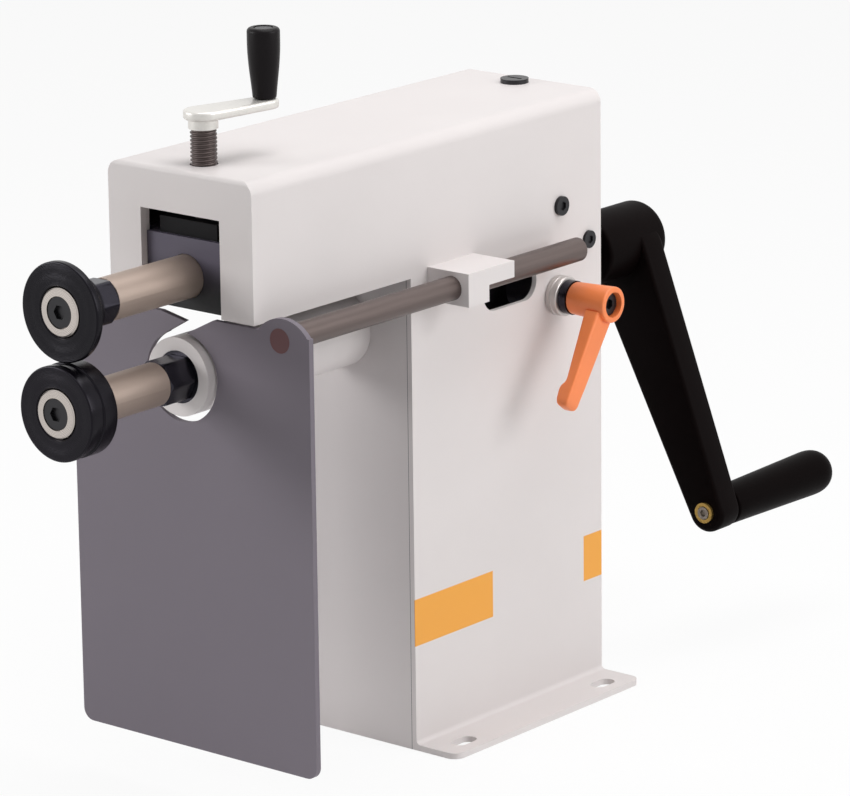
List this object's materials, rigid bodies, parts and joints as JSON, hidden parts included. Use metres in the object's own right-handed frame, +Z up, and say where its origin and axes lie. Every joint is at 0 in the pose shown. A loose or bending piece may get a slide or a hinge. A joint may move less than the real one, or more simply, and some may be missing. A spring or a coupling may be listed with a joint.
{
  "type": "creasing machine",
  "caption": "Hand-cranked bench machine that rolls creases and beads into sheet metal between geared rollers, with sliding guide plate, pressure screw and clamp lever.",
  "frame": {"origin": "on the bench plane, in the middle between the four bench slots under the column", "axes": "+Z up, -Y towards the rollers at the front, +Y along the shafts to the crank, +X to the side with the guide rod and clamp lever"},
  "size_m": [0.2045, 0.6975, 0.4905],
  "materials": {
    "white_paint": "satin light powder coat",
    "dark_casting": "dark phosphated casting",
    "plain_steel": "ground satin steel",
    "blued_steel": "blued turned steel",
    "black_steel": "black oxide",
    "zinc_steel": "bright zinc plate",
    "bronze": "sintered bronze",
    "brass_ring": "bright brass",
    "black_paint": "semi-gloss black paint",
    "black_grip": "black moulded plastic",
    "orange_lever": "orange moulded plastic",
    "grey_plate": "matt grey-violet paint"
  },
  "bodies": {
    "frame": {"housing": "white_paint", "front_plate": "white_paint", "column_plate": "white_paint", "rear_cover": "white_paint", "cover_screws": "black_steel", "lower_tube": "white_paint", "bulkhead": "dark_casting", "pivot_plates": "dark_casting", "pivot_screws": "black_steel", "bracket_screws": "black_steel", "oil_plug": "black_steel", "spindle_nut": "plain_steel", "rod_block": "white_paint", "rod_block_screws": "black_steel", "clamp_ring": "zinc_steel", "clamp_boss": "dark_casting", "rear_bearing": "dark_casting", "rear_bearing_screws": "black_steel", "rear_bush": "bronze"},
    "swing_arm": {"swing_arm": "dark_casting", "upper_front_bush": "bronze", "upper_rear_bush": "bronze", "keeper": "plain_steel"},
    "upper_shaft": {"upper_shaft": "plain_steel", "upper_roller": "blued_steel", "upper_nut": "blued_steel", "upper_washer": "zinc_steel", "upper_roller_screw": "black_steel", "upper_gear": "plain_steel", "upper_key": "plain_steel"},
    "quill": {"quill": "blued_steel", "quill_nut": "blued_steel", "quill_bushes": "bronze"},
    "lower_shaft": {"lower_shaft": "plain_steel", "lower_roller": "blued_steel", "lower_washer": "zinc_steel", "lower_roller_screw": "black_steel", "lower_gear": "plain_steel", "lower_key": "plain_steel", "main_crank": "black_paint", "crank_washer": "zinc_steel", "crank_screw": "black_steel", "grip_bolt": "plain_steel", "grip_ring": "brass_ring"},
    "crank_grip": {"crank_grip": "black_grip"},
    "thrust_pad": {"thrust_pad": "plain_steel"},
    "spindle": {"spindle": "plain_steel", "spindle_collar": "zinc_steel", "top_crank_arm": "zinc_steel", "top_grip_axle": "zinc_steel"},
    "top_grip": {"top_grip": "black_grip"},
    "guide": {"guide_plate": "grey_plate", "guide_rod": "plain_steel"},
    "clamp_stud": {"clamp_stud": "blued_steel", "lever_screw": "black_steel", "lever_spring": "plain_steel"},
    "clamp_lever": {"clamp_lever": "orange_lever"}
  },
  "joints": [
    {"name": "arm_swing", "type": "hinge", "parent": "frame", "child": "swing_arm", "pos_m": [0, 0.086, 0.31], "axis": [-1, 0, 0], "range_deg": [0, 2]},
    {"name": "crank_turn", "type": "hinge", "parent": "quill", "child": "lower_shaft", "pos_m": [0, 0, 0.2785], "axis": [0, 1, 0], "continuous": true},
    {"name": "upper_turn", "type": "hinge", "parent": "swing_arm", "child": "upper_shaft", "pos_m": [0, 0, 0.3415], "axis": [0, 1, 0], "continuous": true},
    {"name": "quill_slide", "type": "slide", "parent": "frame", "child": "quill", "axis": [0, 1, 0], "range_m": [-0.003, 0.003]},
    {"name": "crank_grip_spin", "type": "hinge", "parent": "lower_shaft", "child": "crank_grip", "pos_m": [0.08053, 0.26, 0.09762], "axis": [0, 1, 0], "continuous": true},
    {"name": "pad_lift", "type": "slide", "parent": "frame", "child": "thrust_pad", "axis": [0, 0, 1], "range_m": [0, 0.0112]},
    {"name": "spindle_turn", "type": "hinge", "parent": "thrust_pad", "child": "spindle", "pos_m": [0, -0.228, 0.41], "axis": [0, 0, 1], "range_deg": [0, 1600]},
    {"name": "top_grip_spin", "type": "hinge", "parent": "spindle", "child": "top_grip", "pos_m": [0.00998, -0.18105, 0.47], "axis": [0, 0, 1], "continuous": true},
    {"name": "guide_slide", "type": "slide", "parent": "frame", "child": "guide", "axis": [0, -1, 0], "range_m": [-0.09, 0.08]},
    {"name": "lever_turn", "type": "hinge", "parent": "frame", "child": "clamp_stud", "pos_m": [0.06, 0.052, 0.2785], "axis": [1, 0, 0], "range_deg": [-45, 40]},
    {"name": "lever_pull", "type": "slide", "parent": "clamp_stud", "child": "clamp_lever", "axis": [1, 0, 0], "range_m": [0, 0.004], "stiffness_N_per_m": 400, "springref_m": -0.002, "deforming": ["lever_spring"]}
  ],
  "couplings": [
    {"joint": "upper_turn", "follows": "crank_turn", "ratio": -1},
    {"joint": "pad_lift", "follows": "arm_swing", "m_per_rad": 0.314},
    {"joint": "spindle_turn", "follows": "arm_swing", "ratio": 789.17}
  ]
}
